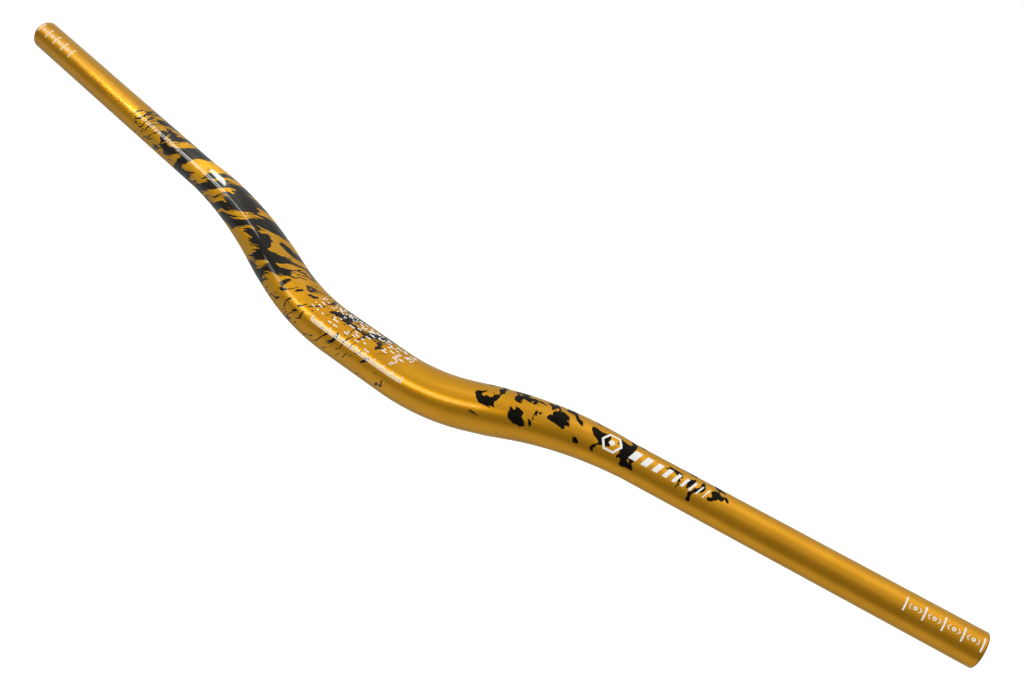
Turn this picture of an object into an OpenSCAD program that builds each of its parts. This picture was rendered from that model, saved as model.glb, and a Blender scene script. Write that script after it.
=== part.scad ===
// Riser handlebar for a mountain bicycle: one hollow aluminium tube, bent four times and
// drawn down in a taper from the thick clamp zone to the thin grips.
// Sizes are in millimetres and degrees. The origin is the middle of the clamp zone on its axis,
// +X runs along the clamp zone to the rider's right, +Y points back to the rider, +Z is up.
// The left half is the right half mirrored.

/* [Whole bar] */
// Width across both ends, measured along X on the tube's axis
bar_w = 780; // [680:1:820]
// Length of the straight clamp zone in the middle
clamp_len = 48; // [40:1:80]

/* [Tube] */
// Outside diameter of the clamp zone and the rise
clamp_d = 31.8; // [25.4:0.1:35]
// Outside diameter of the grips
grip_d = 22.2; // [21.5:0.1:24]
// Wall thickness in the clamp zone and the rise
clamp_wall = 2.3; // [1.8:0.1:3.5]
// Wall thickness in the grips
grip_wall = 1.9; // [1.4:0.1:3]

/* [Bends] */
// Radius of the bend beside the clamp zone, on the axis
low_bend_r = 155; // [90:1:220]
// Radius of the bend above the rise, on the axis
top_bend_r = 245; // [120:1:320]
// Straight length of the rise between the two bends
rise_len = 25; // [16:1:60]
// Angle at which the rise climbs
rise_up = 21; // [15:0.5:35]
// Angle at which the rise leans back
rise_back = 2; // [0:0.5:6]
// Angle at which the grips climb
grip_up = 5; // [0:0.5:8]
// Angle at which the grips sweep back
grip_back = 7; // [5:0.5:12]

/* [Taper] */
// How far before the top bend the taper starts
taper_lead = 12; // [2:0.5:14]
// How far past the top bend the taper ends
taper_tail = 6.5; // [2:0.5:30]

/* [Ends] */
// Chamfer round the outside edge of each end
end_chamfer = 0.6; // [0.2:0.1:1]
// Chamfer round the bore's mouth at each end
bore_chamfer = 0.3; // [0.1:0.1:0.5]

/* [Hidden] */
round_fn = 96;
// Flat sides round the swept stretch, and steps along its bend
sweep_sides = 48;
bend_rings = 10;
// The swept stretch laps this far over its neighbours at both ends, and its flats clear their
// round walls by this much, so every seam is a clean step too small to see
seam_lap = 0.5;
seam_step = 0.02;

function unit(v) = v / norm(v);
function aim(back, up) = [cos(up) * cos(back), cos(up) * sin(back), sin(up)];

// Directions of the clamp zone, the rise and the grip
dir_clamp = [1, 0, 0];
dir_rise = aim(rise_back, rise_up);
dir_grip = aim(grip_back, grip_up);

// Each bend turns from one direction to the next in the plane that holds both
low_turn = acos(dir_clamp * dir_rise);
top_turn = acos(dir_rise * dir_grip);
low_in = unit(dir_rise - (dir_rise * dir_clamp) * dir_clamp);
top_in = unit(dir_grip - (dir_grip * dir_rise) * dir_rise);

function on_bend(start, dir, inward, r, turn) =
    start + r * (1 - cos(turn)) * inward + r * sin(turn) * dir;
function bend_dir(dir, inward, turn) = cos(turn) * dir + sin(turn) * inward;
// Inward normal after a turn
function bend_in(dir, inward, turn) = cos(turn) * inward - sin(turn) * dir;

clamp_end = [clamp_len / 2, 0, 0];
low_end = on_bend(clamp_end, dir_clamp, low_in, low_bend_r, low_turn);
rise_end = low_end + rise_len * dir_rise;
top_end = on_bend(rise_end, dir_rise, top_in, top_bend_r, top_turn);
taper_end = top_end + taper_tail * dir_grip;
// The grip runs on until its axis reaches half the bar's width
bar_end = top_end + (bar_w / 2 - top_end[0]) / dir_grip[0] * dir_grip;
// It starts one lap past the taper, and the sweep's last ring reaches one lap further
grip_start = taper_end + seam_lap * dir_grip;
grip_len = norm(bar_end - grip_start);

clamp_r = clamp_d / 2;
grip_r = grip_d / 2;
clamp_bore_r = clamp_r - clamp_wall;
grip_bore_r = grip_r - grip_wall;

// The swept stretch runs from the low bend to the grip. Along it u counts millimetres of axis,
// from 0 where the rise starts.
top_len = top_bend_r * top_turn * PI / 180;
taper_from = rise_len - taper_lead;
taper_to = rise_len + top_len + taper_tail;

// Centre of the tube at u, and the way across it that lies in the bend's plane
function sweep_centre(u) =
    u <= rise_len ? low_end + u * dir_rise :
    u >= rise_len + top_len ? top_end + (u - rise_len - top_len) * dir_grip :
    on_bend(rise_end, dir_rise, top_in, top_bend_r, top_turn * (u - rise_len) / top_len);
function sweep_across(u) =
    bend_in(dir_rise, top_in, top_turn * min(max((u - rise_len) / top_len, 0), 1));
top_side = cross(dir_rise, top_in);

// A radius that runs from one value to another along the taper
function tapered(from, to, u) =
    from + (to - from) * min(max((u - taper_from) / (taper_to - taper_from), 0), 1);
// A ring of corners whose flats lie just outside a circle of radius r
function ring(u, r) = [for (k = [0:sweep_sides - 1])
    let (a = 360 * k / sweep_sides, corner_r = (r + seam_step) / cos(180 / sweep_sides))
    sweep_centre(u) + corner_r * (cos(a) * sweep_across(u) + sin(a) * top_side)];

// Rings stand at the ends, where the taper starts and ends, and evenly along the bend
ring_at = concat([-seam_lap, taper_from],
                 [for (i = [0:bend_rings]) rise_len + top_len * i / bend_rings],
                 [taper_to, taper_to + 2 * seam_lap]);

// Stands a shape that was drawn along +Z at a point, along a direction
module along(start, dir) {
    side = unit(cross(dir, [0, -sin(45), cos(45)]));
    up = cross(dir, side);
    multmatrix([[side[0], up[0], dir[0], start[0]],
                [side[1], up[1], dir[1], start[1]],
                [side[2], up[2], dir[2], start[2]]])
        children();
}

// The straight clamp zone, along X
module clamp_tube() {
    translate([-clamp_len / 2, 0, 0]) rotate([0, 90, 0]) rotate_extrude($fn = round_fn)
        translate([clamp_bore_r, 0]) square([clamp_wall, clamp_len]);
}

// The bend beside the clamp zone, a piece of a true ring, lying flat
module low_bend() {
    translate([clamp_len / 2, low_bend_r, 0]) rotate([0, 0, -90])
        rotate_extrude(angle = low_turn, $fn = 4 * round_fn)
            translate([low_bend_r, 0]) difference() {
                circle(r = clamp_r, $fn = round_fn);
                circle(r = clamp_bore_r, $fn = round_fn);
            }
}

// The clamp zone with its two bends, which lie in one plane: joined flat, then rolled about X
// into the plane of the rise
module centre_stretch() {
    rotate([atan2(dir_rise[2], dir_rise[1]), 0, 0]) union() {
        clamp_tube();
        low_bend();
        mirror([1, 0, 0]) low_bend();
    }
}

// The rise, the tapered bend and the end of the taper in one sweep: rings of points computed
// along the axis and joined by triangles
module swept_tube() {
    outer = [for (u = ring_at) each ring(u, tapered(clamp_r, grip_r, u))];
    inner = [for (u = ring_at) each ring(u, tapered(clamp_bore_r, grip_bore_r, u))];
    n = sweep_sides;
    last = len(ring_at) - 1;
    base = len(outer);
    polyhedron(points = concat(outer, inner), faces = concat(
        [for (i = [0:last - 1], k = [0:n - 1], t = [0, 1]) let (m = (k + 1) % n)
            t == 0 ? [i * n + k, (i + 1) * n + k, i * n + m]
                   : [i * n + m, (i + 1) * n + k, (i + 1) * n + m]],
        [for (i = [0:last - 1], k = [0:n - 1], t = [0, 1]) let (m = (k + 1) % n, b = base)
            t == 0 ? [b + i * n + k, b + i * n + m, b + (i + 1) * n + k]
                   : [b + i * n + m, b + (i + 1) * n + m, b + (i + 1) * n + k]],
        [for (k = [0:n - 1], t = [0, 1]) let (m = (k + 1) % n)
            t == 0 ? [k, m, base + k] : [m, base + m, base + k]],
        [for (k = [0:n - 1], t = [0, 1]) let (m = (k + 1) % n, a = last * n, b = base + last * n)
            t == 0 ? [a + k, b + k, a + m] : [a + m, b + k, b + m]]));
}

// The straight grip with its chamfered end, a turned profile
module grip_tube() {
    rotate_extrude($fn = round_fn)
        polygon([[grip_bore_r, 0], [grip_r, 0], [grip_r, grip_len - end_chamfer],
                 [grip_r - end_chamfer, grip_len], [grip_bore_r + bore_chamfer, grip_len],
                 [grip_bore_r, grip_len - bore_chamfer]]);
}

module right_arm() {
    swept_tube();
    along(grip_start, dir_grip) grip_tube();
}

// The whole bar
module handlebar() {
    color([0.80, 0.55, 0.13]) union() {
        centre_stretch();
        right_arm();
        mirror([1, 0, 0]) right_arm();
    }
}

handlebar();
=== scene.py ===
"""Riser handlebar: one bent, taper-drawn aluminium tube, anodised gold and printed.

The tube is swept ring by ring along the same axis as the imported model. Its print is laid
out on the unrolled tube, in millimetres along the axis and across the skin.
"""

import logging
import math
from dataclasses import dataclass, field
from enum import Enum
from typing import Any, Dict, List, Optional, Sequence, Tuple, Union

import bmesh
import bpy
from mathutils import Matrix, Quaternion, Vector


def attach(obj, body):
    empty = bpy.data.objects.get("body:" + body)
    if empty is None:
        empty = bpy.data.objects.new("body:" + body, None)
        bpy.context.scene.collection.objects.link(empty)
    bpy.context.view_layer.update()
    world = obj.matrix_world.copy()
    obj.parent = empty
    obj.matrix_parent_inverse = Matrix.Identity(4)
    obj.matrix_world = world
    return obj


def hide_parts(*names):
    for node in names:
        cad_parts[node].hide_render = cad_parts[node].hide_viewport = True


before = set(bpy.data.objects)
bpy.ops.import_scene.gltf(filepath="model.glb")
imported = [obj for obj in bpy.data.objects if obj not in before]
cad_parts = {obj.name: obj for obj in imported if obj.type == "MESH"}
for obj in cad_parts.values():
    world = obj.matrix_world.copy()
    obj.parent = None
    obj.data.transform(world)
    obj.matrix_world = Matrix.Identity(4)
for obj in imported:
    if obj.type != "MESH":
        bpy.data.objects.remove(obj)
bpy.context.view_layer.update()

log = logging.getLogger("riser_bar")

MM = 0.001
MM_PER_METRE = 1000.0
Colour = Tuple[float, float, float]
Triple = Tuple[float, float, float]
Number = Union[float, "Signal"]
# Where a smooth step starts and ends
Step = Tuple[float, float]
# The low and the high end of a range, and how wide its soft edges are
Band = Tuple[float, float, float]
# Half the soft edge of sharp print, in mm
PRINT_EDGE = 0.08


# ---- shader maths


class Signal:
    """A number in a shader that takes part in Python arithmetic."""

    def __init__(self, graph: "Graph", socket: bpy.types.NodeSocket) -> None:
        """Wraps one output socket of graph."""
        self.graph = graph
        self.socket = socket

    def _math(self, operation: str, *values: Any) -> "Signal":
        """Adds one Math node.

        Args:
            operation: the Math node's operation.
            values: its inputs in order, each a number or a Signal.

        Returns:
            The node's result.
        """
        inputs = dict(enumerate(values))
        return self.graph.signal(self.graph.node("ShaderNodeMath", inputs, operation=operation))

    def __add__(self, other: Number) -> "Signal":
        """self + other."""
        return self._math("ADD", self, other)

    def __radd__(self, other: Number) -> "Signal":
        """other + self."""
        return self._math("ADD", other, self)

    def __sub__(self, other: Number) -> "Signal":
        """self - other."""
        return self._math("SUBTRACT", self, other)

    def __rsub__(self, other: Number) -> "Signal":
        """other - self."""
        return self._math("SUBTRACT", other, self)

    def __mul__(self, other: Number) -> "Signal":
        """self * other."""
        return self._math("MULTIPLY", self, other)

    def __rmul__(self, other: Number) -> "Signal":
        """other * self."""
        return self._math("MULTIPLY", other, self)

    def __truediv__(self, other: Number) -> "Signal":
        """self / other."""
        return self._math("DIVIDE", self, other)

    def __abs__(self) -> "Signal":
        """abs(self)."""
        return self._math("ABSOLUTE", self)

    def floor(self) -> "Signal":
        """The whole number below."""
        return self._math("FLOOR", self)

    def root(self) -> "Signal":
        """The square root."""
        return self._math("SQRT", self)

    def nearest(self) -> "Signal":
        """The nearest whole number."""
        return self._math("ROUND", self)

    def at_least(self, other: Number) -> "Signal":
        """The larger of the two."""
        return self._math("MAXIMUM", self, other)

    def angle_from(self, other: "Signal") -> "Signal":
        """The angle in radians whose sine is self and cosine is other, up to a scale."""
        return self._math("ARCTAN2", self, other)

    def rise(self, low: Number, high: Number) -> "Signal":
        """A smooth step.

        Args:
            low: where the step starts, at 0.
            high: where it ends, at 1.

        Returns:
            0 below low, 1 above high, and a smooth run between them.
        """
        made = self.graph.node(
            "ShaderNodeMapRange",
            {"Value": self, "From Min": low, "From Max": high, "To Min": 0.0, "To Max": 1.0},
            interpolation_type="SMOOTHSTEP",
        )
        return self.graph.signal(made, "Result")

    def fall(self, low: Number, high: Number) -> "Signal":
        """1 below low and 0 above high, with a smooth run between them."""
        return 1.0 - self.rise(low, high)

    def within(self, low: float, high: float, soft: float) -> "Signal":
        """1 between low and high, 0 outside, with edges soft wide."""
        half = soft / 2
        return self.rise(low - half, low + half) * self.fall(high - half, high + half)


class Graph:
    """The nodes of one material or of the world."""

    def __init__(self, tree: bpy.types.NodeTree) -> None:
        """Empties the tree."""
        self.tree = tree
        tree.nodes.clear()

    def node(
        self, kind: str, inputs: Optional[Dict[Union[str, int], Any]] = None, **settings: Any
    ) -> bpy.types.Node:
        """Adds any node.

        Args:
            kind: the node's type.
            inputs: a number, Signal, socket or node for each input's name or number. A node
                gives its first output.
            settings: the node's properties, set before its sockets.

        Returns:
            The new node.
        """
        made = self.tree.nodes.new(kind)
        for name, value in settings.items():
            setattr(made, name, value)
        for key, value in (inputs or {}).items():
            if isinstance(value, bpy.types.Node):
                value = value.outputs[0]
            if isinstance(value, Signal):
                value = value.socket
            if isinstance(value, bpy.types.NodeSocket):
                self.tree.links.new(value, made.inputs[key])
            elif made.inputs[key].type == "RGBA":
                made.inputs[key].default_value = (*value, 1.0)
            else:
                made.inputs[key].default_value = value
        return made

    def signal(self, node: bpy.types.Node, output: Union[str, int] = 0) -> Signal:
        """One output of a node as a Signal."""
        return Signal(self, node.outputs[output])

    def vector(self, x: Number, y: Number, z: Number = 0.0) -> bpy.types.Node:
        """A vector from three numbers."""
        return self.node("ShaderNodeCombineXYZ", {0: x, 1: y, 2: z})

    def split(self, vector: Any) -> List[Signal]:
        """The three numbers of a vector."""
        parts = self.node("ShaderNodeSeparateXYZ", {0: vector})
        return [self.signal(parts, i) for i in range(3)]

    def output(self, kind: str, share: Number, first: Any, second: Any) -> None:
        """Mixes two shaders and hands the result to an output node of this kind."""
        mixed = self.node("ShaderNodeMixShader", {0: share, 1: first, 2: second})
        self.node(kind, {0: mixed})

    def tint(self, factor: Number, low: Any, high: Any) -> bpy.types.NodeSocket:
        """A colour that runs from low to high with factor."""
        made = self.node("ShaderNodeMix", {0: factor, 6: low, 7: high}, data_type="RGBA")
        return made.outputs[2]

    def noise(
        self, point: bpy.types.Node, scale: float, detail: float, rough: float = 0.5
    ) -> Signal:
        """Smooth noise about 0.5, read at a point.

        Args:
            point: where it is read.
            scale: how many bumps to a unit.
            detail: how many finer layers lie on it.
            rough: how strong the finer layers are.

        Returns:
            The noise.
        """
        inputs = {"Vector": point, "Scale": scale, "Detail": detail, "Roughness": rough}
        return self.signal(self.node("ShaderNodeTexNoise", inputs, noise_dimensions="3D"))

    def chance(self, x: Signal, y: Signal, seed: float) -> Signal:
        """An even random number for each pair of whole numbers."""
        cell = {"Vector": self.vector(x, y, seed)}
        made = self.node("ShaderNodeTexWhiteNoise", cell, noise_dimensions="3D")
        return self.signal(made, "Value")


# ---- the tube's axis


@dataclass(frozen=True)
class Station:
    """One place on the axis, with the tube's front, top and running direction there."""

    along: float
    centre: Vector
    front: Vector
    top: Vector
    heading: Vector

    def mirrored(self) -> "Station":
        """The same place on the other side of the bar."""
        flip = Vector((-1.0, 1.0, 1.0))
        centre, front, top = self.centre * flip, self.front * flip, self.top * flip
        return Station(-self.along, centre, front, top, -(self.heading * flip))

    def point(self, radius: float, angle: float) -> Vector:
        """The point at a radius and an angle, which counts from the front up to the top."""
        return self.centre + radius * (math.cos(angle) * self.front + math.sin(angle) * self.top)


@dataclass(frozen=True)
class BarAxis:
    """The centre line: a straight middle, then a bend up, a rise, a bend out and a grip each side.

    Lengths are in metres and angles in degrees.
    """

    width: float = 780 * MM
    clamp_length: float = 48 * MM
    low_bend_radius: float = 155 * MM
    top_bend_radius: float = 245 * MM
    rise_length: float = 25 * MM
    rise_up: float = 21.0
    rise_back: float = 2.0
    grip_up: float = 5.0
    grip_back: float = 7.0

    @staticmethod
    def aim(back: float, up: float) -> Vector:
        """The direction that leans back and climbs by these angles in degrees."""
        b, u = math.radians(back), math.radians(up)
        return Vector((math.cos(u) * math.cos(b), math.cos(u) * math.sin(b), math.sin(u)))

    @property
    def rise_heading(self) -> Vector:
        """The direction of the rise."""
        return self.aim(self.rise_back, self.rise_up)

    @property
    def grip_heading(self) -> Vector:
        """The direction of the grip."""
        return self.aim(self.grip_back, self.grip_up)

    @property
    def low_turn(self) -> float:
        """The angle of the bend beside the clamp zone, in radians."""
        return Vector((1.0, 0.0, 0.0)).angle(self.rise_heading)

    @property
    def top_turn(self) -> float:
        """The angle of the bend above the rise, in radians."""
        return self.rise_heading.angle(self.grip_heading)

    @property
    def marks(self) -> List[float]:
        """How far along the axis the low bend, the rise, the top bend and the grip start."""
        return [start.along for start in self._starts()]

    @property
    def half_length(self) -> float:
        """The length of the axis from the middle to one end."""
        grip = self._starts()[3]
        return grip.along + (self.width / 2 - grip.centre.x) / self.grip_heading.x

    def _bent(self, start: Station, towards: Vector, radius: float, turn: float) -> Station:
        """start carried round a bend.

        Args:
            start: where the bend begins.
            towards: the heading at the bend's end.
            radius: the bend's radius.
            turn: how far round it to go, in radians.

        Returns:
            The station there, turned with the bend and not twisted.
        """
        hinge = start.heading.cross(towards).normalized()
        turned = Matrix.Rotation(turn, 3, hinge)
        hub = start.centre + radius * hinge.cross(start.heading)
        return Station(
            start.along + radius * turn,
            hub + turned @ (start.centre - hub),
            turned @ start.front,
            turned @ start.top,
            turned @ start.heading,
        )

    @staticmethod
    def _straight(start: Station, length: float) -> Station:
        """start carried straight on by length."""
        centre = start.centre + length * start.heading
        return Station(start.along + length, centre, start.front, start.top, start.heading)

    def _middle(self) -> Station:
        """The middle of the clamp zone."""
        ahead, up, right = Vector((0, -1, 0)), Vector((0, 0, 1)), Vector((1, 0, 0))
        return Station(0.0, Vector((0, 0, 0)), ahead, up, right)

    def _starts(self) -> Tuple[Station, Station, Station, Station]:
        """Follows the axis from stretch to stretch.

        Returns:
            The stations where the low bend, the rise, the top bend and the grip start.
        """
        low = self._straight(self._middle(), self.clamp_length / 2)
        rise = self._bent(low, self.rise_heading, self.low_bend_radius, self.low_turn)
        top = self._straight(rise, self.rise_length)
        grip = self._bent(top, self.grip_heading, self.top_bend_radius, self.top_turn)
        return low, rise, top, grip

    def station(self, along: float) -> Station:
        """The station at a signed distance from the middle.

        Args:
            along: metres along the axis, positive to the rider's right.

        Returns:
            The place and its directions.
        """
        if along < 0:
            return self.station(-along).mirrored()
        low, rise, top, grip = self._starts()
        if along <= low.along:
            return self._straight(self._middle(), along)
        if along <= rise.along:
            turn = (along - low.along) / self.low_bend_radius
            return self._bent(low, self.rise_heading, self.low_bend_radius, turn)
        if along <= top.along:
            return self._straight(rise, along - rise.along)
        if along <= grip.along:
            turn = (along - top.along) / self.top_bend_radius
            return self._bent(top, self.grip_heading, self.top_bend_radius, turn)
        return self._straight(grip, along - grip.along)


# ---- finishes


@dataclass(frozen=True)
class Unrolled:
    """The tube's skin laid flat, in a shader.

    along and across are in mm, radius too, and angle counts degrees from the front up to the
    top. outside is 1 on the skin and 0 in the bore.
    """

    along: Signal
    across: Signal
    angle: Signal
    radius: Signal
    outside: Signal

    @staticmethod
    def read(graph: Graph) -> "Unrolled":
        """Reads the piece's own attributes.

        Args:
            graph: the material's nodes.

        Returns:
            The flat coordinates at the shaded point.
        """
        straight = graph.node("ShaderNodeAttribute", attribute_name=BarTube.STRAIGHT)
        skin = graph.node("ShaderNodeAttribute", attribute_name=BarTube.SKIN)
        x, y, z = graph.split(straight.outputs["Vector"])
        turn = z.angle_from(y)
        radius = (y * y + z * z).root() * MM_PER_METRE
        angle = turn * math.degrees(1.0)
        outside = graph.signal(skin, "Fac")
        return Unrolled(x * MM_PER_METRE, turn * radius, angle, radius, outside)


@dataclass(frozen=True)
class SlantBar:
    """A printed slanting bar, placed by its middle along the tube and its angle round it.

    Sizes are in mm, the angle in degrees, and the slant is mm along for each mm up.
    """

    along: float
    angle: float
    length: float
    height: float
    slant: float = 0.35

    def mask(self, skin: Unrolled, radius: float) -> Signal:
        """1 inside the bar.

        Args:
            skin: the unrolled tube.
            radius: the tube's radius where the bar lies, in mm.

        Returns:
            The bar's mask.
        """
        up = skin.across - math.radians(self.angle) * radius
        side = abs(skin.along - self.along - self.slant * up)
        wide, high = self.length / 2, self.height / 2
        inside = side.fall(wide - PRINT_EDGE, wide + PRINT_EDGE)
        return inside * abs(up).fall(high - PRINT_EDGE, high + PRINT_EDGE)


@dataclass(frozen=True)
class BarRun:
    """A run of white slanting bars that thin out along the tube."""

    start: float = 184.0
    gap: float = 3.2
    widths: Tuple[float, ...] = (4.6, 4.0, 3.4, 2.8, 2.3, 1.8, 1.4, 1.0, 0.8)
    height: float = 6.4
    angle: float = 27.0
    radius: float = 12.4

    def mask(self, skin: Unrolled, ink: Signal) -> Signal:
        """Adds the bars to other white ink.

        Args:
            skin: the unrolled tube.
            ink: the mask of the other ink.

        Returns:
            The mask of both.
        """
        place = self.start
        for width in self.widths:
            bar = SlantBar(place + width / 2, self.angle, width, self.height)
            ink = ink.at_least(bar.mask(skin, self.radius))
            place += width + self.gap
        return ink


@dataclass(frozen=True)
class HexagonRing:
    """A plain six-sided ring with a dot in it, printed in white."""

    along: float = 171.0
    angle: float = 27.0
    radius: float = 12.9
    size: float = 5.6
    line: float = 1.3
    dot: float = 1.7

    def mask(self, skin: Unrolled) -> Signal:
        """1 where there is white ink.

        Args:
            skin: the unrolled tube.

        Returns:
            The ink's mask.
        """
        side = abs(skin.along - self.along)
        up = abs(skin.across - math.radians(self.angle) * self.radius)
        # How far out a point is, counted square to the hexagon's nearest side
        turn = math.radians(30.0)
        out = up.at_least(side * math.cos(turn) + up * math.sin(turn))
        half = self.line / 2
        ring = abs(out - (self.size - half)).fall(half - PRINT_EDGE, half + PRINT_EDGE)
        away = (side * side + up * up).root()
        return ring.at_least(away.fall(self.dot - PRINT_EDGE, self.dot + PRINT_EDGE))


@dataclass(frozen=True)
class BrushPrint:
    """Black dry-brush strokes that run slanting round the tube, with torn edges and bristle lines.

    A stroke is about long_side by short_side, torn is how ragged its edge is and warp how far it
    strays, all in mm, and slant is in degrees.
    """

    seed: float
    slant: float
    long_side: float
    short_side: float
    bristles: float
    torn: float = 2.2
    warp: float = 16.0
    torn_along: float = 2.0
    warp_across: float = 1.3
    bend_scale: float = 0.055
    tear_scale: float = 0.33
    hair_along: float = 0.035
    hair_across: float = 1.25
    hair_seed: float = 4.0
    patch_scale: float = 0.07
    patch: Step = (0.40, 0.62)
    bare_level: float = 0.72
    cover_gain: float = 0.36
    edge: Step = (-0.006, 0.006)
    first_cover: Step = (0.02, 0.06)

    def ink(self, graph: Graph, skin: Unrolled, cover: Signal) -> Signal:
        """The strokes where the print covers the tube.

        Args:
            graph: the material's nodes.
            skin: the unrolled tube.
            cover: how much of the tube is inked, from 0 to 1.

        Returns:
            1 where there is ink.
        """
        c, s = math.cos(math.radians(self.slant)), math.sin(math.radians(self.slant))
        flat = graph.vector(skin.along, skin.across, self.seed)
        bend = graph.noise(flat, self.bend_scale, 1.0) - 0.5
        tear = graph.noise(flat, self.tear_scale, 3.0, 0.62) - 0.5
        run = skin.along * c + skin.across * s
        run = run + bend * self.warp + tear * self.torn * self.torn_along
        wide = skin.across * c - skin.along * s
        wide = wide + bend * self.warp * self.warp_across + tear * self.torn
        stroke = graph.vector(run / self.long_side, wide / self.short_side, self.seed)
        body = graph.noise(stroke, 1.0, 1.0, 0.4)
        other = self.seed + self.hair_seed
        hair = graph.vector(run * self.hair_along, wide * self.hair_across, other)
        hairs = graph.noise(hair, 1.0, 1.0, 0.5) - 0.5
        patchy = graph.noise(flat, self.patch_scale, 1.0).rise(*self.patch)
        level = body + hairs * patchy * self.bristles
        ink = (level - (self.bare_level - cover * self.cover_gain)).rise(*self.edge)
        return ink * cover.rise(*self.first_cover)


@dataclass(frozen=True)
class BlackPrint:
    """All the black on the bar: heavy strokes on the left arm, a few on the right.

    Places along the bar are in mm, and places round it in degrees.
    """

    left: BrushPrint = BrushPrint(11.3, 36.0, 21.0, 7.0, 0.52, 1.5, 9.0)
    fine: BrushPrint = BrushPrint(27.9, 52.0, 9.5, 2.2, 0.22)
    right: BrushPrint = BrushPrint(42.6, -58.0, 10.0, 6.5, 0.16)
    # The heavy strokes: they wrap the arm, start earlier and end later on top, and thin out below
    heavy_start: Step = (-238.0, -200.0)
    heavy_end: Step = (-84.0, -44.0)
    heavy_round: Tuple[Step, Step] = ((-150.0, -105.0), (120.0, 165.0))
    heavy_cover: float = 0.70
    high_side: Step = (20.0, 60.0)
    high_lead: float = 30.0
    high_lag: float = 16.0
    low_side: Step = (-30.0, 0.0)
    low_loss: float = 0.12
    # A patch of them on top of the clamp zone
    patch_along: Band = (-30.0, 12.0, 14.0)
    patch_round: Tuple[Step, Step] = ((34.0, 46.0), (95.0, 140.0))
    patch_cover: float = 0.62
    # The fine strokes, before and after the heavy ones
    fine_before: Band = (-264.0, -215.0, 14.0)
    fine_after: Band = (-84.0, 22.0, 30.0)
    fine_after_share: float = 0.72
    fine_round: Tuple[Step, Step] = ((-66.0, -42.0), (95.0, 140.0))
    fine_cover: float = 0.40
    # The few strokes on the right arm
    right_along: Tuple[Step, Step] = ((78.0, 92.0), (236.0, 250.0))
    right_round: Tuple[Step, Step] = ((-22.0, -14.0), (80.0, 115.0))
    right_cover: float = 0.31

    @staticmethod
    def reach(value: Signal, ends: Tuple[Step, Step]) -> Signal:
        """1 between the two ends, each of which is a smooth step."""
        return value.rise(*ends[0]) * value.fall(*ends[1])

    def mask(self, graph: Graph, skin: Unrolled) -> Signal:
        """1 where there is black ink.

        Args:
            graph: the material's nodes.
            skin: the unrolled tube.

        Returns:
            The ink's mask.
        """
        along, angle = skin.along, skin.angle
        high = angle.rise(*self.high_side)
        start = (along + high * self.high_lead).rise(*self.heavy_start)
        heavy = start * (along - high * self.high_lag).fall(*self.heavy_end)
        heavy = heavy * self.reach(angle, self.heavy_round)
        heavy = heavy * (1.0 - angle.fall(*self.low_side) * self.low_loss)
        patch = along.within(*self.patch_along) * self.reach(angle, self.patch_round)
        light = along.within(*self.fine_before)
        light = light + along.within(*self.fine_after) * self.fine_after_share
        light = light * self.reach(angle, self.fine_round)
        sparse = self.reach(along, self.right_along) * self.reach(angle, self.right_round)
        most = (heavy * self.heavy_cover).at_least(patch * self.patch_cover)
        left = self.left.ink(graph, skin, most)
        fine = self.fine.ink(graph, skin, light * self.fine_cover)
        right = self.right.ink(graph, skin, sparse * self.right_cover)
        return left.at_least(fine).at_least(right)


@dataclass(frozen=True)
class DashPrint:
    """Rows of fine white dashes over the top of the clamp zone, with upright sticks among them.

    Lengths are in mm, places round the bar in degrees, and the rest in shares of a cell.
    """

    pitch: float = 4.6
    row_height: float = 1.55
    shortest: float = 0.14
    spread: float = 0.38
    length_edge: Step = (-0.02, 0.02)
    thickness: Step = (0.20, 0.28)
    chance_edge: Step = (-0.01, 0.01)
    # How many cells hold a dash: everywhere, more of them high up, and more on the left
    share: float = 0.20
    high_share: float = 0.22
    high: Step = (30.0, 58.0)
    left_share: float = 0.12
    left: Band = (-24.0, 2.0, 8.0)
    stick_pitch: float = 1.9
    stick_row: float = 2.7
    stick_width: Step = (0.13, 0.22)
    stick_height: Step = (0.30, 0.36)
    stick_share: float = 0.34
    stick_round: Band = (52.0, 76.0, 2.0)
    print_along: Band = (-44.0, 36.0, 4.0)
    print_round: Band = (12.0, 78.0, 6.0)
    shift_seed: float = 4.0
    dash_seed: float = 6.0
    length_seed: float = 7.0
    stick_seed: float = 9.0

    def mask(self, graph: Graph, skin: Unrolled) -> Signal:
        """1 where there is white ink.

        Args:
            graph: the material's nodes.
            skin: the unrolled tube.

        Returns:
            The ink's mask.
        """
        row = (skin.across / self.row_height).floor()
        shift = graph.chance(row, row, self.shift_seed) * self.pitch
        moved = (skin.along + shift) / self.pitch
        column = moved.floor()
        here = graph.chance(column, row, self.dash_seed)
        length = graph.chance(column, row, self.length_seed) * self.spread + self.shortest
        side = abs(moved - column - 0.5)
        up = abs(skin.across / self.row_height - row - 0.5)
        dash = (length - side).rise(*self.length_edge) * up.fall(*self.thickness)
        crowd = self.share + skin.angle.rise(*self.high) * self.high_share
        crowd = crowd + skin.along.within(*self.left) * self.left_share
        dash = dash * (crowd - here).rise(*self.chance_edge)
        slot, level = skin.along / self.stick_pitch, skin.across / self.stick_row
        stick = abs(slot - slot.floor() - 0.5).fall(*self.stick_width)
        stick = stick * abs(level - level.floor() - 0.5).fall(*self.stick_height)
        kept = self.stick_share - graph.chance(slot.floor(), level.floor(), self.stick_seed)
        stick = stick * kept.rise(*self.chance_edge)
        stick = stick * skin.angle.within(*self.stick_round)
        ink = dash.at_least(stick) * skin.along.within(*self.print_along)
        return ink * skin.angle.within(*self.print_round)


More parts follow.
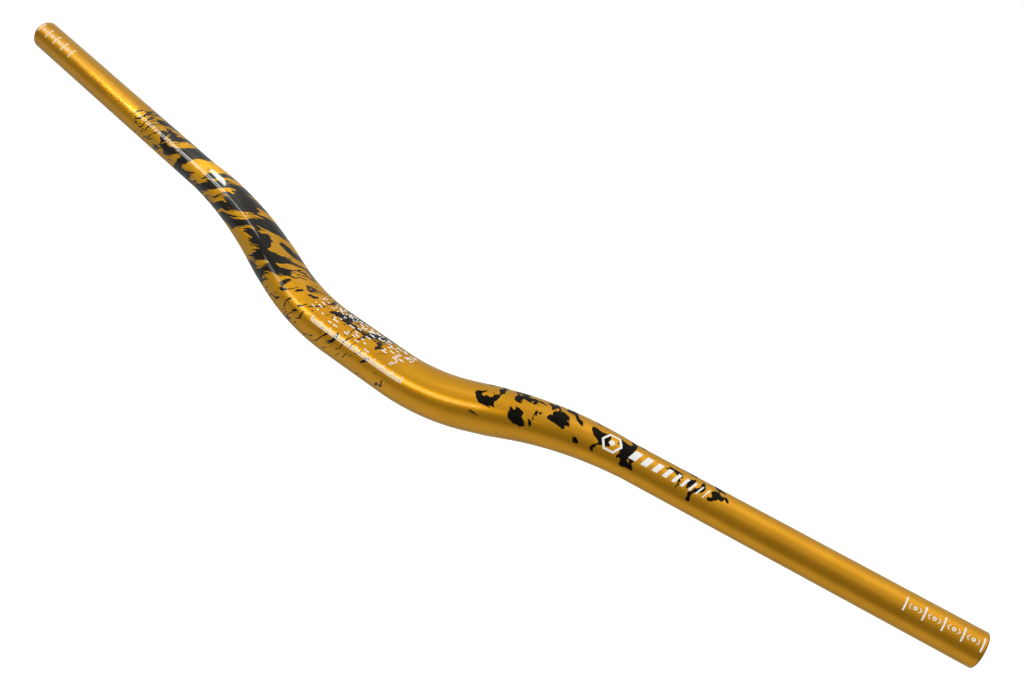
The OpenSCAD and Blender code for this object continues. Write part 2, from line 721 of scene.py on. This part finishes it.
@dataclass(frozen=True)
class CentreScale:
    """A fine graduated strip along the front of the clamp zone, for centring the bar, in mm."""

    reach: float = 37.5
    pitch: float = 1.5
    long_each: int = 5
    low: float = -1.1
    short: float = 1.5
    tall: float = 2.8
    line: Step = (0.24, 0.42)
    long_line: Step = (0.5, 0.6)
    edge: float = 0.05
    rail: float = 0.30
    rail_edge: float = 0.1
    end: Step = (0.3, 0.5)

    def mask(self, skin: Unrolled) -> Signal:
        """1 where there is white ink.

        Args:
            skin: the unrolled tube.

        Returns:
            The ink's mask.
        """
        step = skin.along / self.pitch
        line = (abs(step - step.nearest()) * self.pitch).fall(*self.line)
        major = skin.along / (self.pitch * self.long_each)
        off = abs(major - major.nearest()) * self.pitch * self.long_each
        top = self.short + off.fall(*self.long_line) * (self.tall - self.short)
        height = skin.across.rise(self.low - self.edge, self.low + self.edge)
        height = height * (top - skin.across).rise(-self.edge, self.edge)
        rail = skin.across.within(self.low - self.rail, self.low + self.edge, self.rail_edge)
        inside = abs(skin.along).fall(self.reach + self.end[0], self.reach + self.end[1])
        return (line * height).at_least(rail) * inside


@dataclass(frozen=True)
class TrimScale:
    """The white cut marks near each end, with a pair of angle marks round a ring between them.

    Lengths are in mm. middle and span are degrees round the grip.
    """

    end: float
    first: float = 2.5
    pitch: float = 10.92
    count: int = 5
    middle: float = 24.0
    span: float = 44.0
    radius: float = 11.1
    line: Step = (0.38, 0.55)
    line_end: float = 0.15
    angle_tip: float = 3.45
    angle_slope: float = 0.75
    angle_line: Step = (0.22, 0.38)
    angle_height: Step = (1.45, 1.65)
    ring: float = 0.8
    ring_line: Step = (0.26, 0.42)

    def mask(self, skin: Unrolled) -> Signal:
        """1 where there is white ink.

        Args:
            skin: the unrolled tube.

        Returns:
            The ink's mask.
        """
        step = (self.end - abs(skin.along) - self.first) / self.pitch
        up = skin.across - math.radians(self.middle) * self.radius
        reach = math.radians(self.span / 2) * self.radius
        near = abs(step - step.nearest()) * self.pitch
        line = near.fall(*self.line) * abs(up).fall(reach - self.line_end, reach + self.line_end)
        # There are count lines, and an angle pair in each gap between two of them
        line = line * step.within(-0.4, self.count - 0.6, 0.02)
        middle = step - 0.5
        out = abs(middle - middle.nearest()) * self.pitch
        angle = abs(out + abs(up) * self.angle_slope - self.angle_tip).fall(*self.angle_line)
        angle = angle * abs(up).fall(*self.angle_height)
        ring = abs((out * out + up * up).root() - self.ring).fall(*self.ring_line)
        return line.at_least(angle.at_least(ring) * step.within(0.2, self.count - 1.2, 0.02))


@dataclass(frozen=True)
class AnodisedMetal:
    """Dyed and sealed aluminium: a gold metal under a thin clear film.

    The dye varies in faint clouds, and the drawn metal has fine lines along the tube and a fine
    grain. Scales are in bumps to the mm.
    """

    dye: Colour = (0.62, 0.283, 0.0016)
    deep: Colour = (0.575, 0.257, 0.0008)
    edge: Colour = (0.46, 0.58, 0.34)
    lacquered: Colour = (0.53, 0.276, 0.005)
    # rim: painted shade, the dark reflection on the outer chamfer at each end
    rim: Colour = (0.20, 0.085, 0.001)
    specular: float = 0.10
    roughness: float = 0.34
    under_lacquer: float = 0.38
    haze: float = 0.05
    film_roughness: float = 0.13
    film_weight: float = 0.60
    film_on_ink: float = 0.06
    film_ior: float = 1.38
    cloud_scale: float = 0.05
    cloud: Step = (0.3, 0.7)
    drawn_along: float = 0.03
    drawn_across: float = 2.2
    drawn_depth: float = 0.012
    grain_scale: float = 2.6
    grain_depth: float = 0.004


@dataclass(frozen=True)
class BarFinish:
    """The tube's whole finish: anodised metal, clear lacquer over the printed left, and inks.

    Places along the bar and radii are in mm.
    """

    end: float
    metal: AnodisedMetal = AnodisedMetal()
    strokes: BlackPrint = BlackPrint()
    dashes: DashPrint = DashPrint()
    scale: CentreScale = CentreScale()
    badge: HexagonRing = HexagonRing()
    bars: BarRun = BarRun()
    black: Colour = (0.0045, 0.0020, 0.0010)
    white: Colour = (0.95, 0.93, 0.88)
    ink_roughness: float = 0.45
    ink_height: float = 0.6
    lacquer: Band = (-268.0, 34.0, 3.0)
    lacquer_weight: float = 0.46
    lacquer_roughness: float = 0.04
    lacquer_ior: float = 1.5
    # The metal is hazy just before the lacquer, and duller under most of it
    haze: Band = (-295.0, -268.0, 22.0)
    dull_start: Step = (-268.0, -235.0)
    dull_end: Step = (-95.0, -45.0)
    # The outer chamfer at each end, by its depth from the end and its radius, is painted darker:
    # painted shade that stands for the dark reflection there
    rim_shade_depth: Step = (0.9, 0.6)
    rim_shade_radius: Step = (10.3, 10.6)
    # Each relief has a strength and a height in metres
    satin_relief: Tuple[float, float] = (0.003, 0.00005)
    ink_relief: Tuple[float, float] = (0.2, 0.00003)

    def white_ink(self, graph: Graph, skin: Unrolled) -> Signal:
        """1 where there is white ink.

        Args:
            graph: the material's nodes.
            skin: the unrolled tube.

        Returns:
            The ink's mask.
        """
        ink = TrimScale(self.end).mask(skin).at_least(self.dashes.mask(graph, skin))
        ink = ink.at_least(self.scale.mask(skin))
        return self.bars.mask(skin, ink).at_least(self.badge.mask(skin))

    @staticmethod
    def relief(graph: Graph, height: Signal, depth: Tuple[float, float]) -> bpy.types.Node:
        """The normal of a bump with a strength and a height in metres."""
        strength, distance = depth
        sockets = {"Strength": strength, "Distance": distance, "Height": height}
        return graph.node("ShaderNodeBump", sockets)

    def surface(
        self, graph: Graph, colour: Any, bare: Signal, rough: Number, bump: Any, clear: bool
    ) -> bpy.types.Node:
        """One layered surface.

        Args:
            graph: the material's nodes.
            colour: the base colour.
            bare: 1 on bare metal and 0 on ink.
            rough: the roughness under the film.
            bump: the bump's normal.
            clear: whether glossy lacquer lies on it, or the satin film alone.

        Returns:
            The shader.
        """
        film = bare * (self.metal.film_weight - self.metal.film_on_ink) + self.metal.film_on_ink
        return graph.node(
            "ShaderNodeBsdfPrincipled",
            {
                "Base Color": colour,
                "Metallic": bare,
                "Roughness": rough,
                "Normal": bump,
                "Specular IOR Level": self.metal.specular,
                "Specular Tint": self.metal.edge,
                "Coat Weight": self.lacquer_weight if clear else film,
                "Coat Roughness": self.lacquer_roughness if clear else self.metal.film_roughness,
                "Coat IOR": self.lacquer_ior if clear else self.metal.film_ior,
            },
        )

    def material(self) -> bpy.types.Material:
        """Builds the material.

        Returns:
            The tube's one material.
        """
        made = bpy.data.materials.new("anodised_gold")
        made.use_nodes = True
        graph = Graph(made.node_tree)
        skin = Unrolled.read(graph)
        metal = self.metal
        black = self.strokes.mask(graph, skin) * skin.outside
        white = self.white_ink(graph, skin) * skin.outside
        flat = graph.vector(skin.along, skin.across, skin.radius)
        cloud = graph.noise(flat, metal.cloud_scale, 2.0)
        gold = graph.tint(cloud.rise(*metal.cloud), metal.deep, metal.dye)
        lacquer = skin.along.within(*self.lacquer) * skin.outside
        dull = lacquer * skin.along.rise(*self.dull_start) * skin.along.fall(*self.dull_end)
        gold = graph.tint(dull, gold, metal.lacquered)
        # Painted shade: the outer chamfer at each end is tinted towards the dark rim colour, a
        # painted dark reflection
        rim = abs(skin.along).rise(self.end - self.rim_shade_depth[0], self.end - self.rim_shade_depth[1])
        gold = graph.tint(rim * skin.radius.rise(*self.rim_shade_radius), gold, metal.rim)
        colour = graph.tint(white, graph.tint(black, gold, self.black), self.white)
        ink = black.at_least(white)
        lines = graph.vector(skin.along * metal.drawn_along, skin.across * metal.drawn_across)
        drawn = graph.noise(lines, 1.0, 3.0, 0.6)
        grain = graph.noise(flat, metal.grain_scale, 2.0, 0.6)
        satin = metal.roughness + (grain - 0.5) * metal.grain_depth
        satin = satin + (drawn - 0.5) * metal.drawn_depth
        satin = satin + dull * metal.under_lacquer + skin.along.within(*self.haze) * metal.haze
        rough = satin * (1.0 - ink) + ink * self.ink_roughness
        height = drawn * 0.5 + grain * 0.5 + ink * self.ink_height
        bump = self.relief(graph, height, self.satin_relief)
        ridge = self.relief(graph, ink, self.ink_relief)
        plain = self.surface(graph, colour, 1.0 - ink, rough, bump, False)
        coated = self.surface(graph, colour, 1.0 - ink, rough, ridge, True)
        graph.output("ShaderNodeOutputMaterial", lacquer, plain, coated)
        return made


# ---- the tube


class Wall(Enum):
    """The two walls of the tube."""

    OUTSIDE = 1.0
    BORE = 0.0


@dataclass
class BarTube:
    """The hollow tube, thick in the middle and drawn down in a taper to the grips.

    Lengths are in metres, and those of the UV map in shares of its height.
    """

    axis: BarAxis = field(default_factory=BarAxis)
    clamp_diameter: float = 31.8 * MM
    grip_diameter: float = 22.2 * MM
    clamp_wall: float = 2.3 * MM
    grip_wall: float = 1.9 * MM
    taper_lead: float = 12 * MM
    taper_tail: float = 6.5 * MM
    end_chamfer: float = 0.6 * MM
    bore_chamfer: float = 0.3 * MM
    # The bore's own rings stop this far short of each end
    bore_clear: float = 0.9 * MM
    sides: int = 96
    bend_step: float = 2.0 * MM
    straight_step: float = 6.0 * MM
    uv_girth: float = 0.09
    uv_bore: float = 0.1

    STRAIGHT = "straight"
    SKIN = "skin"

    def radius(self, along: float, wall: Wall) -> float:
        """The radius of one wall.

        Args:
            along: metres along the axis.
            wall: which wall.

        Returns:
            Its radius in metres.
        """
        start = self.axis.marks[2] - self.taper_lead
        end = self.axis.marks[3] + self.taper_tail
        drawn = min(max((abs(along) - start) / (end - start), 0.0), 1.0)
        thick, thin = self.clamp_diameter / 2, self.grip_diameter / 2
        if wall is Wall.BORE:
            thick, thin = thick - self.clamp_wall, thin - self.grip_wall
        return thick + (thin - thick) * drawn

    def places(self) -> List[float]:
        """The rings' places along the axis.

        Returns:
            Distances from the middle, from the left end to the right end, short of the chamfers.
        """
        low, rise, top, grip = self.axis.marks
        last = self.axis.half_length - self.end_chamfer
        stops = [0.0, low, rise, top - self.taper_lead, top, grip, grip + self.taper_tail, last]
        half: List[float] = []
        for start, end in zip(stops, stops[1:]):
            bent = (low <= start < rise) or (top <= start < grip)
            step = self.bend_step if bent else self.straight_step
            count = max(1, math.ceil((end - start) / step))
            half += [start + (end - start) * k / count for k in range(count)]
        half.append(last)
        return [-s for s in reversed(half[1:])] + half

    def _ring(
        self, bm: bmesh.types.BMesh, edges: Sequence[Any], along: float, radius: float, wall: Wall
    ) -> List[Any]:
        """Extrudes a ring of edges to the next place.

        Args:
            bm: the mesh.
            edges: the ring to start from.
            along: where the new ring goes.
            radius: its radius.
            wall: the wall that it belongs to.

        Returns:
            The new ring's edges.
        """
        made = bmesh.ops.extrude_edge_only(bm, edges=list(edges))["geom"]
        self._place(bm, [v for v in made if isinstance(v, bmesh.types.BMVert)], along, radius, wall)
        return [e for e in made if isinstance(e, bmesh.types.BMEdge)]

    def _place(
        self, bm: bmesh.types.BMesh, verts: Sequence[Any], along: float, radius: float, wall: Wall
    ) -> None:
        """Moves a ring's points to their place and writes the unrolled coordinates on them.

        Args:
            bm: the mesh.
            verts: the ring's points, which already hold their angle.
            along: where the ring goes.
            radius: its radius.
            wall: the wall that it belongs to.
        """
        straight = bm.verts.layers.float_vector[self.STRAIGHT]
        skin = bm.verts.layers.float[self.SKIN]
        station = self.axis.station(along)
        for vert in verts:
            angle = math.atan2(vert[straight].z, vert[straight].y)
            vert.co = station.point(radius, angle)
            vert[straight] = Vector((along, radius * math.cos(angle), radius * math.sin(angle)))
            vert[skin] = wall.value

    def build(self) -> bpy.types.Object:
        """Builds the closed tube: out along the skin, round the end, and back along the bore.

        Returns:
            The tube, at the origin.
        """
        bm = bmesh.new()
        straight = bm.verts.layers.float_vector.new(self.STRAIGHT)
        bm.verts.layers.float.new(self.SKIN)
        end = self.axis.half_length
        shoulder, lip = end - self.end_chamfer, end - self.bore_chamfer
        rim = self.radius(end, Wall.OUTSIDE) - self.end_chamfer
        mouth = self.radius(end, Wall.BORE) + self.bore_chamfer
        first = bmesh.ops.create_circle(bm, cap_ends=False, radius=1.0, segments=self.sides)
        for vert in first["verts"]:
            vert[straight] = Vector((0.0, vert.co.x, vert.co.y))
        self._place(bm, first["verts"], -end, rim, Wall.OUTSIDE)
        start = ring = list(bm.edges)
        places = self.places()
        inner = [p for p in reversed(places) if abs(p) < end - self.bore_clear]
        way = [(p, self.radius(p, Wall.OUTSIDE), Wall.OUTSIDE) for p in places]
        way += [(end, rim, Wall.OUTSIDE), (end, mouth, Wall.BORE)]
        way += [(p, self.radius(p, Wall.BORE), Wall.BORE) for p in [lip, *inner, -lip]]
        way.append((-end, mouth, Wall.BORE))
        creases = list(start)
        for along, radius, wall in way:
            ring = self._ring(bm, ring, along, radius, wall)
            if abs(along) >= shoulder:
                creases += ring
        bmesh.ops.bridge_loops(bm, edges=[*start, *ring])
        bmesh.ops.recalc_face_normals(bm, faces=bm.faces)
        for face in bm.faces:
            face.smooth = True
        for edge in creases:
            edge.smooth = False
        self._unroll(bm)
        mesh = bpy.data.meshes.new("bar_tube")
        bm.to_mesh(mesh)
        bm.free()
        made = bpy.data.objects.new("bar_tube", mesh)
        bpy.context.scene.collection.objects.link(made)
        return made

    def _unroll(self, bm: bmesh.types.BMesh) -> None:
        """Writes a UV map: the axis along U and the way round along V, its seam at the back.

        Args:
            bm: the finished mesh.
        """
        straight = bm.verts.layers.float_vector[self.STRAIGHT]
        skin = bm.verts.layers.float[self.SKIN]
        layer = bm.loops.layers.uv.new("unrolled")
        length = 2 * self.axis.half_length
        for face in bm.faces:
            spots = [loop.vert[straight] for loop in face.loops]
            turns = [math.atan2(spot.z, spot.y) / math.tau + 0.5 for spot in spots]
            wraps = max(turns) - min(turns) > 0.5
            bore = min(loop.vert[skin] for loop in face.loops) < 0.5
            base = self.uv_bore if bore else 0.0
            for loop, spot, turn in zip(face.loops, spots, turns):
                v = turn + 1.0 if wraps and turn < 0.5 else turn
                loop[layer].uv = (spot.x / length + 0.5, v * self.uv_girth + base)

    def dress(self, piece: bpy.types.Object) -> None:
        """Gives the tube its finish and its place in the frame.

        Args:
            piece: the tube.
        """
        piece.data.materials.append(BarFinish(end=self.axis.half_length / MM).material())
        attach(piece, "root")
        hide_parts("handlebar")


# ---- the studio


WHITE: Colour = (1.0, 1.0, 1.0)
# The spread of a lamp without a grid before it, in degrees
NO_GRID = 180.0
# The middle of the lacquered arm, in metres
ARM: Triple = (-0.165, 0.009, 0.049)


@dataclass(frozen=True)
class Softbox:
    """A soft lamp, placed by its direction from the bar and how large it looks from there.

    Angles are in degrees, distances and the target in metres.
    """

    name: str
    azimuth: float
    elevation: float
    wide: float
    high: float
    glow: float
    distance: float = 2.0
    target: Triple = (0.0, 0.0, 0.02)
    spread: float = NO_GRID
    roll: float = 0.0
    oval: bool = False

    def build(self) -> bpy.types.Object:
        """Makes the lamp, facing its target.

        Returns:
            The lamp.
        """
        az, el = math.radians(self.azimuth), math.radians(self.elevation)
        way = Vector((math.sin(az) * math.cos(el), -math.cos(az) * math.cos(el), math.sin(el)))
        lamp = bpy.data.lights.new(self.name, "AREA")
        lamp.shape = "ELLIPSE" if self.oval else "RECTANGLE"
        lamp.size = 2 * self.distance * math.tan(math.radians(self.wide / 2))
        lamp.size_y = 2 * self.distance * math.tan(math.radians(self.high / 2))
        filled = math.pi / 4 if self.oval else 1.0
        lamp.energy = self.glow * math.pi * lamp.size * lamp.size_y * filled
        if self.spread < NO_GRID:
            half = math.radians(self.spread / 2)
            lamp.spread = 2 * half
            lamp.energy *= 1.0 - half / math.tan(half)
        made = bpy.data.objects.new(self.name, lamp)
        made.location = Vector(self.target) + way * self.distance
        turned = Quaternion((0.0, 0.0, 1.0), math.radians(self.roll))
        made.rotation_euler = (way.to_track_quat("Z", "Y") @ turned).to_euler()
        made.visible_camera = False
        bpy.context.scene.collection.objects.link(made)
        return made


@dataclass
class Studio:
    """A white room with a dim front: a pale floor below the bar, a soft surround and softboxes.

    Lengths are in metres.
    """

    surround: float = 0.85
    dimming: float = 0.55
    floor_height: float = -0.30
    floor_size: float = 9.0
    floor_front: float = -3.0
    floor_colour: Colour = (0.80, 0.80, 0.80)
    floor_shade: Colour = (0.33, 0.33, 0.33)
    floor_lift: float = 0.65
    # The surround is dimmer this way and low, and white to glossy rays at the back
    dim_way: Triple = (-0.34, -0.94, 0.0)
    dim_ahead: Step = (0.0, 0.6)
    dim_up: Step = (0.05, 0.5)
    white_back: Step = (0.3, 0.7)
    white_up: Step = (0.25, 0.5)
    # What the bar sees of the floor is painted shade: darker in front, a little on the left, and in
    # one band
    front_shade: Step = (-0.36, -0.14)
    left_shade: Step = (-0.30, -0.05)
    left_dimming: float = 0.30
    shade_band: Band = (0.13, 0.27, 0.08)
    shade_band_dimming: float = 0.55
    boxes: Tuple[Softbox, ...] = (
        Softbox("left_panel", -62.0, 27.0, 36.0, 38.0, 0.75),
        Softbox("key_tube", -56.0, 23.0, 22.0, 4.4, 3.1),
        Softbox("key_near", -51.7, 22.5, 19.4, 3.8, 42.0, 0.5, ARM, 15.0),
        Softbox("key_twin", -51.7, 13.5, 19.4, 3.4, 36.0, 0.5, ARM, 15.0),
        Softbox("key_tail", -38.0, 24.0, 16.0, 7.0, 12.0, 0.5, (-0.125, -0.008, 0.034), 20.0),
        Softbox(
            "blob", -70.8, 47.9, 34.0, 12.4, 48.0, 0.15, (-0.163, -0.003, 0.042), 38.0, -30.0, True
        ),
        Softbox("low_strip", -24.0, -7.0, 24.0, 22.0, 5.0),
        Softbox("right_panel", 15.0, 68.0, 50.0, 34.0, 0.42),
        Softbox("top_panel", 30.0, 84.0, 40.0, 40.0, 0.30),
    )

    def world(self) -> None:
        """Lights the room: white to the camera, and a soft surround that is dimmer low in front."""
        world = bpy.data.worlds.new("studio_surround")
        world.use_nodes = True
        graph = Graph(world.node_tree)
        way = graph.node("ShaderNodeTexCoord").outputs["Generated"]
        _, back, up = graph.split(way)
        sides = {0: way, 1: self.dim_way}
        ahead = graph.node("ShaderNodeVectorMath", sides, operation="DOT_PRODUCT")
        dim = graph.signal(ahead, "Value").rise(*self.dim_ahead) * up.fall(*self.dim_up)
        level = self.surround * (1.0 - dim * self.dimming)
        seen = graph.node("ShaderNodeBackground", {"Color": WHITE, "Strength": 1.0})
        lit = graph.node("ShaderNodeBackground", {"Color": WHITE, "Strength": level})
        rays = graph.node("ShaderNodeLightPath")
        behind = back.rise(*self.white_back) * up.fall(*self.white_up)
        glossy = graph.signal(rays, "Is Glossy Ray")
        glossy = glossy.at_least(graph.signal(rays, "Is Transmission Ray"))
        share = graph.signal(rays, "Is Camera Ray").at_least(glossy * behind)
        graph.output("ShaderNodeOutputWorld", share, lit, seen)
        bpy.context.scene.world = world

    def floor(self) -> bpy.types.Object:
        """Makes the floor.

        Returns:
            The floor.
        """
        bm = bmesh.new()
        bmesh.ops.create_grid(bm, x_segments=1, y_segments=1, size=self.floor_size / 2)
        middle = (0.0, self.floor_size / 2 + self.floor_front, self.floor_height)
        bmesh.ops.translate(bm, vec=middle, verts=bm.verts)
        mesh = bpy.data.meshes.new("studio_floor")
        bm.to_mesh(mesh)
        bm.free()
        made = bpy.data.objects.new("studio_floor", mesh)
        bpy.context.scene.collection.objects.link(made)
        material = bpy.data.materials.new("studio_paper")
        material.use_nodes = True
        graph = Graph(material.node_tree)
        x, y, _ = graph.split(graph.node("ShaderNodeTexCoord").outputs["Object"])
        # Painted shade: away from the camera the floor's colour darkens in front, on the left and
        # in one band
        lit = y.rise(*self.front_shade) * (1.0 - x.fall(*self.left_shade) * self.left_dimming)
        lit = lit * (1.0 - y.within(*self.shade_band) * self.shade_band_dimming)
        shaded = graph.tint(lit, self.floor_shade, self.floor_colour)
        dim = graph.node("ShaderNodeBsdfDiffuse", {"Color": shaded})
        paper = graph.node("ShaderNodeBsdfDiffuse", {"Color": self.floor_colour})
        glow = graph.node("ShaderNodeEmission", {"Color": WHITE, "Strength": self.floor_lift})
        both = graph.node("ShaderNodeAddShader", {0: paper, 1: glow})
        camera = graph.node("ShaderNodeLightPath").outputs["Is Camera Ray"]
        graph.output("ShaderNodeOutputMaterial", camera, dim, both)
        mesh.materials.append(material)
        return made

    def build(self) -> None:
        """Sets up the world, the floor and the lamps."""
        scene = bpy.context.scene
        scene.view_settings.view_transform = "Standard"
        self.world()
        self.floor()
        for box in self.boxes:
            box.build()
            log.info("lamp %s", box.name)


@dataclass(frozen=True)
class PhotoCamera:
    """The camera at the photograph's angle.

    Its place is in metres, the focal length, centre and size in pixels, and the sensor in mm.
    """

    place: Triple = (0.288745, -0.649474, 0.109859)
    right: Triple = (0.77254369, 0.36166363, 0.52189621)
    down: Triple = (0.5344455, 0.07343217, -0.84200696)
    focal: float = 1114.4547
    centre: Tuple[float, float] = (436.2125, 374.1958)
    size: Tuple[int, int] = (1024, 690)
    sensor: float = 36.0
    nearest: float = 0.02

    def build(self) -> bpy.types.Object:
        """Makes the camera and hands it to the scene.

        Returns:
            The camera.
        """
        lens = bpy.data.cameras.new("photo_camera")
        lens.sensor_width = self.sensor
        lens.lens = self.focal * self.sensor / self.size[0]
        lens.shift_x = (self.size[0] / 2 - self.centre[0]) / self.size[0]
        lens.shift_y = (self.centre[1] - self.size[1] / 2) / self.size[0]
        lens.clip_start = self.nearest
        made = bpy.data.objects.new("photo_camera", lens)
        x, y = Vector(self.right).normalized(), -Vector(self.down).normalized()
        turn = Matrix((x, y, x.cross(y))).transposed().to_4x4()
        made.matrix_world = Matrix.Translation(self.place) @ turn
        bpy.context.scene.collection.objects.link(made)
        bpy.context.scene.camera = made
        return made


def main() -> None:
    """Builds the camera, the studio and the bar."""
    logging.basicConfig(level=logging.INFO, format="%(name)s: %(message)s")
    PhotoCamera().build()
    Studio().build()
    tube = BarTube()
    piece = tube.build()
    tube.dress(piece)
    length = 2 * tube.axis.half_length / MM
    log.info("piece %s: %d faces, %.1f mm of tube", piece.name, len(piece.data.polygons), length)


if __name__ == "__main__":
    main()
